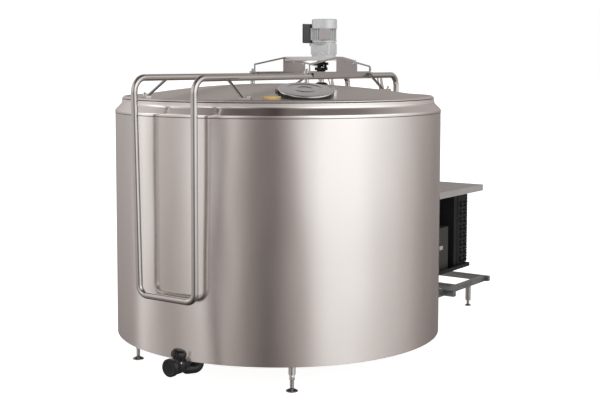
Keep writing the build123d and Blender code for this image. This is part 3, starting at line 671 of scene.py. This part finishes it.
# two shallow pressed rings and a rim turned down over the seal, heights from the manway's place
cover = {"sides": 160,
         "top": [(0, -0.003), (0.040, -0.003), (0.046, 0), (0.054, 0), (0.060, -0.003), (0.096, -0.003),
                 (0.102, 0), (0.133, -0.002), (0.141, -0.003), (0.145, -0.006), (0.145, -0.0115)],
         "under": [(0.143, -0.0115), (0.143, -0.007), (0.140, -0.005), (0.1326, -0.004), (0.1028, -0.002),
                   (0.0968, -0.005), (0.0592, -0.005), (0.0532, -0.002), (0.0468, -0.002),
                   (0.0408, -0.005), (0, -0.005)],
         "radii": [0] + [0.005] * 8 + [0.003, 0.0006, 0.0006, 0.002] + [0.004] * 8 + [0]}


def makeManwayCover():
    outline = rounded(cover["top"] + cover["under"], cover["radii"], 4)
    piece = lathe(outline, cover["sides"], frameOf=manwayAxes())
    addParts("manwayCover", [piece], coverSteel, "inspection_cover", ["manway_cover"], sharp=50)


def fluted(count, depth, low, high, runOut=0.003):
    # the radius drops in as many round flutes between two heights, fading at both ends
    def grow(angle, z):
        inside = np.clip((z - low) / runOut, 0, 1) * np.clip((high - z) / runOut, 0, 1)
        return 1 - depth * inside * (0.5 + 0.5 * np.cos(count * angle)) ** 3
    return grow


# heights run along the stem, from the middle of the valve's way
knob = {"sides": 180, "flutes": (10, 0.045, 0.055, 0.082),
        "outline": [(0, 0.058), (0.014, 0.058), (0.014, 0.052), (0.026, 0.0505), (0.040, 0.056),
                    (0.0415, 0.060), (0.042, 0.066), (0.0415, 0.073), (0.040, 0.080), (0.032, 0.089),
                    (0.018, 0.094), (0, 0.095)],
        "radii": [0, 0.001, 0.001, 0.002] + [0.004] * 7 + [0]}


def makeKnob():
    t = math.radians(outlet["stemTilt"])
    axes = np.array([(math.cos(t), 0, -math.sin(t)), (0, 1, 0), (math.sin(t), 0, math.cos(t))])
    place = onTank(outlet["x"], outlet["stemY"], outlet["z"])
    piece = lathe(rounded(knob["outline"], knob["radii"], 4), knob["sides"], frameOf=(place, axes),
                  wobble=fluted(*knob["flutes"]))
    addParts("valveKnob", [piece], blackGloss, "valve_handle", ["valve_knob"], sharp=40)


# heights run forward from the stem's axis
cap = {"sides": 192, "flutes": (24, 0.03, 0.036, 0.055),
       "outline": [(0, 0.052), (0.025, 0.052), (0.025, 0.048), (0.0303, 0.048), (0.0303, 0.034),
                   (0.048, 0.034), (0.048, 0.058), (0.034, 0.058), (0.032, 0.0565), (0, 0.0565)],
       "radii": (0, 0.001, 0.001, 0.001, 0.001, 0.002, 0.004, 0.001, 0.001, 0)}


def makeOutletCap():
    # screwed cap with a fluted grip
    place = onTank(outlet["x"], outlet["stemY"], outlet["z"])
    axes = np.array([(1, 0, 0), (0, 0, 1), (0, -1, 0)])
    piece = lathe(rounded(cap["outline"], cap["radii"], 4), cap["sides"], frameOf=(place, axes),
                  wobble=fluted(*cap["flutes"]))
    addParts("outletCap", [piece], blackGloss, "outlet_cap", ["outlet_cap"], sharp=40)


# heights from the top of the neck, which stands "seat" above the lid
plug = {"seat": 0.008, "high": 0.013, "topR": 0.036, "edgeHigh": 0.011, "edgeR": 0.0465,
        "sideHigh": 0.006, "r": 0.048, "insideR": 0.0434, "rest": 0.0005,
        "stopR": 0.0386, "stopLow": 0.018, "gap": 0.0035, "clear": 0.0003,
        "radii": (0, 0.006, 0.004, 0.004, 0, 0, 0.0005, 0.0005, 0.002, 0)}


def makeInletPlug():
    # turned plug with a skirt that is cut to the slope of the lid and hides its neck
    d = plug
    x, y = inlet["place"]
    seat = lidHeight(x, y) + d["seat"]
    low = 0.9  # the skirt starts far too long, and its ends are then lifted to the lid
    outline = [(0, seat + d["high"]), (d["topR"], seat + d["high"]), (d["edgeR"], seat + d["edgeHigh"]),
               (d["r"], seat + d["sideHigh"]), (d["r"], low), (d["insideR"], low),
               (d["insideR"], seat + d["rest"]), (d["stopR"], seat + d["rest"]),
               (d["stopR"], seat - d["stopLow"]), (0, seat - d["stopLow"])]
    points, faces = lathe(rounded(outline, d["radii"], 5), 96, x, y)
    slope = lidHeight(points[..., 0], points[..., 1] - tankY) + d["gap"]
    slope = np.minimum(slope, seat + d["clear"])
    points[..., 2] = np.where(points[..., 2] < low + 0.3, slope, points[..., 2])
    addParts("inletPlug", [(points, faces)], tanPlug, "inlet_plug", ["inlet_plug"], sharp=45)


# the path is measured from the outlet's x and this height; the start is narrower by its share
sump = {"z": 0.1115, "r": 0.031, "narrow": 0.88, "swell": 0.6,
        "path": ((0, -0.952, 0.012), (0.004, -0.925, 0), (0.036, -0.868, 0), (0.036, -0.868, 0.0455)),
        "bends": (0, 0.03, 0.034, 0)}


def makeOutletSump():
    # cast lower body of the elbow: the fat black bend that shows under the edge of the tank
    path = [onTank(outlet["x"] + x, y, sump["z"] + z) for x, y, z in sump["path"]]
    path = rounded(path, sump["bends"], 14, closed=False)
    radius = sump["r"] * np.minimum(1, sump["narrow"] + np.linspace(0, sump["swell"], len(path)))
    addParts("outletSump", [carried(path, radius, 40)], blackGloss, "tank",
             sharp=50)


makeInletPlug()
makeOutletSump()
makeManwayCover()
makeKnob()
makeOutletCap()
print("turned pieces made")


# small fasteners, threads, welds and fins
def addBolts(name, body, heads, washers=True):
    # heads are (place, direction, width across flats, height)
    parts = []
    for place, direction, flats, height in heads:
        out = np.asarray(direction, float)
        if washers:
            high = bolt["washerHigh"]
            parts.append(disc(place, out, flats * bolt["washerR"], high, bolt["washerEdge"]))
            place = place + out * high
        parts.append(hexHead(place, out, flats, height, bolt["turnStep"] * len(parts)))
    addParts(name, parts, boltSteel, body, sharp=40)


def addScrews(name, body, heads):
    # low domed heads, as (place, direction, radius)
    parts = []
    for place, direction, radius in heads:
        dome = [(0, 0), (radius, 0), (radius * 0.98, radius * 0.35), (radius * 0.7, radius * 0.6),
                (0, radius * 0.66)]
        dome = rounded(dome, (0, 0.0002, radius * 0.2, radius * 0.3, 0), 3)
        parts.append(lathe(dome, 28, frameOf=(place, axesAlong(direction))))
    addParts(name, parts, boltSteel, body, sharp=50)


upright = (0, 0, 1)
screw = {"pitch": 0.002, "depth": 0.0009, "rowsPerTurn": 6, "sides": 24}


def thread(place, radius, length):
    # an upright screw's ridge: radius + depth * triangle wave of (height / pitch - angle / turn)
    pitch = screw["pitch"]
    z = np.linspace(0, length, int(length / pitch * screw["rowsPerTurn"]))[:, None]
    angle = np.linspace(0, 2 * np.pi, screw["sides"], endpoint=False)[None]
    wave = np.abs((z / pitch - angle / (2 * np.pi)) % 1 - 0.5) * 2
    r = radius + screw["depth"] * wave
    rings = np.stack(np.broadcast_arrays(r * np.cos(angle), r * np.sin(angle), z), -1)
    points, faces = capped(rings, (0, 0, 0), (0, 0, length))
    return points @ axesAlong(upright) + np.asarray(place), faces


weld = {"size": 0.0028, "legSize": 0.003, "step": 0.0035, "ripple": 0.18, "sides": 10}


def weldRing(place, direction, radius, size):
    # a bead round a joint: its radius ripples with the welder's steps
    turn = np.linspace(0, 2 * np.pi, weld["sides"], endpoint=False)
    outline = np.stack([radius + size * np.cos(turn), size * np.sin(turn)], 1)
    steps = int(2 * np.pi * radius / weld["step"])

    def ripple(angle, z):
        return 1 + size / radius * weld["ripple"] * np.abs(np.sin(steps * angle / 2))
    return lathe(outline, min(720, steps * 6), frameOf=(place, axesAlong(direction)), wobble=ripple)


def lidNormal(x, y):
    return np.array([x, y, lidHeight(x, y) - lidShape["top"] + lidShape["ball"]]) / lidShape["ball"]


def frameHalf(y):
    # half the distance between the two long tubes
    f = lift
    return f["front"] + (f["rear"] - f["front"]) * (y - f["frontY"]) / (f["rearY"] - f["frontY"])


# where the CAD puts the drive; the cheeks' upper edge falls from the peak to the rear
drive = {"gearY": 0.484, "motorY": 0.490, "plateZ": 1.760, "motorLow": 1.850, "coverLow": 1.939,
         "fanR": 0.078, "boxX": -0.134, "peakY": 0.349, "peakZ": 1.758, "rearY": 0.730, "rearZ": 1.702}
# where the fasteners stand on it, with width across flats and height, or the radius of a screw
flangeBolt = {"x": 0.034, "y": 0.058, "up": 0.012, "size": (0.010, 0.005)}
cheekBolt = {"y": (0.430, 0.530), "out": 0.005, "down": 0.015, "size": (0.011, 0.006)}
fanScrew = {"angles": (20, 110, 200, 290), "up": 0.004, "sunk": 0.0002, "r": 0.0034}
boxScrew = {"y": (-0.039, 0.039), "up": (0.004, 0.106), "sunk": 0.0002, "r": 0.0032}
valveScrew = {"out": (0.876, 0, 0.482), "ahead": 0.003, "reach": 0.0438, "r": 0.0052}


def makeDriveFasteners():
    # bolts of flange and cheeks, screws of fan cover, terminal box and valve
    d, sides = drive, (-1, 1)
    f = flangeBolt
    corners = [onTank(sx * f["x"], d["gearY"] + sy * f["y"], d["plateZ"] + f["up"])
               for sx in sides for sy in sides]
    addBolts("flangeBolts", "lid", [(place, upright, *f["size"]) for place in corners])
    c = cheekBolt
    cheeks = []
    for y in c["y"]:
        fall = (d["peakZ"] - d["rearZ"]) * (y - d["peakY"]) / (d["rearY"] - d["peakY"])
        z = d["peakZ"] - fall - c["down"]
        cheeks += [(onTank(side * (frameHalf(y) + c["out"]), y, z), (side, 0, 0), *c["size"])
                   for side in sides]
    addBolts("cheekBolts", "lid", cheeks)
    screws = []
    for angle in np.radians(fanScrew["angles"]):
        out = np.array([math.cos(angle), math.sin(angle), 0])
        place = onTank(0, d["motorY"], d["coverLow"] + fanScrew["up"])
        screws.append((place + out * (d["fanR"] - fanScrew["sunk"]), out, fanScrew["r"]))
    for dy in boxScrew["y"]:
        for dz in boxScrew["up"]:
            place = onTank(d["boxX"] + boxScrew["sunk"], d["motorY"] + dy, d["motorLow"] + dz)
            screws.append((place, (-1, 0, 0), boxScrew["r"]))
    addScrews("driveScrews", "lid", screws)
    v = valveScrew
    place = onTank(outlet["x"], outlet["stemY"] - v["ahead"], outlet["z"])
    place = place + np.array(v["out"]) * v["reach"]
    addScrews("valveScrew", "tank", [(place, v["out"], v["r"])])


# "up" is above the tube or the lid; size is width across flats and height, thread radius and length
rodNut = {"y": 0.012, "up": 0.0003, "size": (0.0325, 0.0118), "threadUp": 0.012,
          "thread": (0.0070, 0.0145)}
clampNut = {"struts": ((0.330, -0.770), (0.350, 0.612)), "dx": 0.032, "dy": 0.012, "up": 0.0102,
            "size": (0.0205, 0.0082), "threadUp": 0.018, "thread": (0.0061, 0.0095)}


def makeRodNuts():
    # the rods' nuts and threads above the tubes, and the clamp nuts beside the struts
    places = []
    rod, clamp = rodNut, clampNut
    for side in (-1, 1):
        places.append((rod, side * frameHalf(rod["y"]), rod["y"], lift["z"] + lift["r"]))
        places += [(clamp, side * (x + clamp["dx"]), y + clamp["dy"], lidHeight(x, y))
                   for x, y in clamp["struts"]]
    addBolts("frameNuts", "lid", [(onTank(x, y, z + nut["up"]), upright, *nut["size"])
                                  for nut, x, y, z in places], washers=False)
    threads = [thread(onTank(x, y, z + nut["threadUp"]), *nut["thread"]) for nut, x, y, z in places]
    addParts("frameThreads", threads, boltSteel, "lid")


foot = {"circle": 0.837, "angles": (-41, 41, -139, 139), "threadR": 0.0101, "threadLow": 0.022,
        "threadHigh": 0.0675, "nutFlats": 0.0265, "nutHigh": 0.0125, "nutsAt": (0.0767, 0.0610),
        "weldAt": 0.1445, "weldR": 0.0195}
footPlaces = [(foot["circle"] * math.sin(math.radians(a)), -foot["circle"] * math.cos(math.radians(a)))
              for a in foot["angles"]]


def makeFeetThreads():
    # threads and lock nuts of the levelling feet
    f = foot
    threads = [thread(onTank(x, y, f["threadLow"]), f["threadR"], f["threadHigh"]) for x, y in footPlaces]
    addParts("feetThreads", threads, boltSteel, "tank")
    nuts = [(onTank(x, y, z), upright, f["nutFlats"], f["nutHigh"]) for x, y in footPlaces
            for z in f["nutsAt"]]
    addBolts("feetNuts", "tank", nuts, washers=False)


def makeWelds():
    # beads round the boot's neck, the hinge eyes and the legs
    size = weld["size"]
    boot = onTank(0, shaftY, lidHeight(0, shaftY))
    rings = [weldRing(boot, lidNormal(0, shaftY), lidShape["bootR"], size)]
    for side in (-1, 1):
        eyeTop = onTank(side * lift["rear"], lift["rearY"], lift["hingeZ"] + 0.0215)
        rings.append(weldRing(eyeTop, upright, lift["r"], size))
    addParts("lidWelds", rings, boltSteel, "lid")
    legs = [weldRing(onTank(x, y, foot["weldAt"]), upright, foot["weldR"], weld["legSize"])
            for x, y in footPlaces]
    addParts("legWelds", legs, boltSteel, "tank")


condenser = {"half": 0.340, "y": 1.731, "t": 0.122, "low": 0.324, "high": 0.803, "pitch": 0.0034,
             "fin": 0.0003}


def makeFins():
    # the condenser's fin pack, one thin plate per pitch
    c = condenser
    x = np.arange(-c["half"] + c["pitch"] / 2, c["half"], c["pitch"])
    middle = (c["low"] + c["high"]) / 2
    centres = np.stack([x, np.full(len(x), c["y"] + tankY), np.full(len(x), middle)], 1)
    fins = boxes(centres, [(c["fin"], c["t"] / 2 - 0.001, (c["high"] - c["low"]) / 2)])
    addParts("condenserFins", [fins], finAluminium, "tank", ["condenser_core"], merge=1e-7)


guard = {"half": 0.346, "inside": -0.012, "outside": 0.020, "bend": 0.010, "wire": 0.0022, "step": 0.0205,
         "first": 0.012, "barX": 0.338, "barY": 0.0172, "bar": 0.003}


def makeGuard():
    # wire guard on the air side of the condenser: level wires bent in at both ends, two upright bars
    c, g = condenser, guard
    y = c["y"] + c["t"] / 2
    ends = ((-g["half"], g["inside"]), (-g["half"], g["outside"]), (g["half"], g["outside"]),
            (g["half"], g["inside"]))
    wires = []
    for z in np.arange(c["low"] + g["first"], c["high"], g["step"]):
        corners = [onTank(x, y + dy, z) for x, dy in ends]
        path = rounded(corners, (0, g["bend"], g["bend"], 0), 5, closed=False)
        wires.append(carried(path, g["wire"], 10))
    for x in (-g["barX"], g["barX"]):
        bar = [onTank(x, y + g["barY"], z) for z in (c["low"], c["high"])]
        wires.append(carried(bar, g["bar"], 12))
    addParts("condenserGuard", wires, blackPaint, "tank")


def makeBarePlate():
    # small bare plate on the control box's side
    plate = boxes([onTank(0.3386, 1.427, 0.462)], [(0.0007, 0.024, 0.013)])
    addParts("boxPlate", [plate], plateAluminium, "tank")


makeGuard()
makeDriveFasteners()
makeRodNuts()
makeFeetThreads()
makeWelds()
makeFins()
makeBarePlate()
# the brushed wall gives back no picture of the black valve
for name in ("valveKnob", "outletCap", "outletSump", "valve_bodyDressed", "outlet_elbowDressed",
             "valveScrew"):
    bpy.data.objects[name].visible_glossy = False
print("small details made")


# studio: pale floor, white surround, soft panels that the steel reflects
studio = {"floor": 90.0, "floorGlow": 0.86, "background": 1.0, "peak": 1.4, "gain": 1.2 / 0.72,
          "warmth": (0, 0.14, 0.18)}
# brightness round the horizon, in degrees from the handle side
panels = [(-180, 0.26), (-144, 0.27), (-116, 0.36), (-88, 0.42), (-80, 0.52), (-70, 0.90), (-63, 0.74),
          (-56, 0.56), (-46, 0.45), (-34, 0.46), (-25, 0.63), (-19, 0.82), (-14.5, 0.67), (-9.5, 0.42),
          (-6, 0.06), (-3, 0.46), (1, 0.56), (7, 0.50), (11, 0.38), (19, 0.235), (27, 0.16), (35, 0.20),
          (43, 0.35), (51, 0.52), (59, 0.76), (67, 1.03), (90, 1.06), (103, 0.88), (122, 0.71),
          (143, 0.49), (160, 0.33), (180, 0.26)]
above = [(0.0, 0.72), (0.06, 0.80), (0.15, 0.92), (0.4, 1.0), (0.6, 0.9), (0.85, 0.25), (1.0, 0.10)]
below = [(0.0, 1.0), (0.05, 1.0), (0.12, 0.9), (0.18, 0.79), (0.25, 0.65), (0.45, 0.5), (0.7, 0.2),
         (1.0, 0.08)]


def makeFloor():
    size = studio["floor"]
    mesh = meshFrom("floor", [boxes([(0, 0, -0.011)], [(size, size, 0.01)])])
    floor = linked("floor", mesh)

    def build(at):
        cloud = speckle(at, 2.0, 2.0)
        return {"Base Color": tinted(at, cloud, (0.90, 0.90, 0.90), (0.93, 0.93, 0.93))}
    mesh.materials.append(finish("paleFloor", build, Roughness=0.9, Emission_Strength=studio["floorGlow"],
                                 Emission_Color=(1, 1, 1, 1)))
    floor.visible_glossy = False


def makeWorld():
    # the panels round the horizon, times how light each height is; dim places are a little warmer
    world = bpy.data.worlds.new("studio")
    bpy.context.scene.world = world
    world.use_nodes = True
    tree = world.node_tree
    tree.nodes.clear()
    at = Wire(tree, tree.nodes.new("ShaderNodeTexCoord").outputs["Generated"])
    x, y, z = (at.node("ShaderNodeSeparateXYZ", {"Vector": at}, output=k) for k in range(3))
    turn = x.math("ARCTAN2", x, 0 - y) / (2 * math.pi) + 0.5
    stops = [(angle / 360 + 0.5, level / studio["peak"]) for angle, level in panels]
    ring = at.node("ShaderNodeValToRGB", {"Fac": turn}, stops=stops)
    upward = at.node("ShaderNodeValToRGB", {"Fac": z}, stops=above)
    downward = at.node("ShaderNodeValToRGB", {"Fac": 0 - z}, stops=below)
    level = ring * upward * downward * (studio["peak"] * studio["gain"])
    lack = 1 - level
    warmth = lack.math("MAXIMUM", lack, 0.0)
    seen = at.node("ShaderNodeLightPath", output="Is Camera Ray") * studio["background"]
    parts = [level * (1 - warmth * share) for share in studio["warmth"]]
    shown = [part.math("MAXIMUM", part, seen) for part in parts]
    color = at.node("ShaderNodeCombineColor", dict(enumerate(shown)))
    glow = at.node("ShaderNodeBackground", {"Color": color, "Strength": 1.0})
    out = tree.nodes.new("ShaderNodeOutputWorld")
    tree.links.new(glow.socket, out.inputs["Surface"])


overhead = {"place": (1.5, -3.0, 4.5), "target": (0, 0, 0.6), "width": 3.0, "depth": 3.0, "power": 120}


def makeLight():
    # one soft lamp above the front of the tank
    data = bpy.data.lights.new("overhead", "AREA")
    data.shape, data.size, data.size_y = "RECTANGLE", overhead["width"], overhead["depth"]
    data.energy = overhead["power"]
    light = linked("overhead", data)
    light.location = overhead["place"]
    axes = axesAlong(np.subtract(overhead["place"], overhead["target"]))
    light.rotation_euler = (math.acos(axes[2][2]), 0, math.atan2(axes[2][0], -axes[2][1]))
    light.visible_glossy = False


makeFloor()
makeWorld()
makeLight()
bpy.context.scene.view_settings.view_transform = "Standard"
print("studio made")
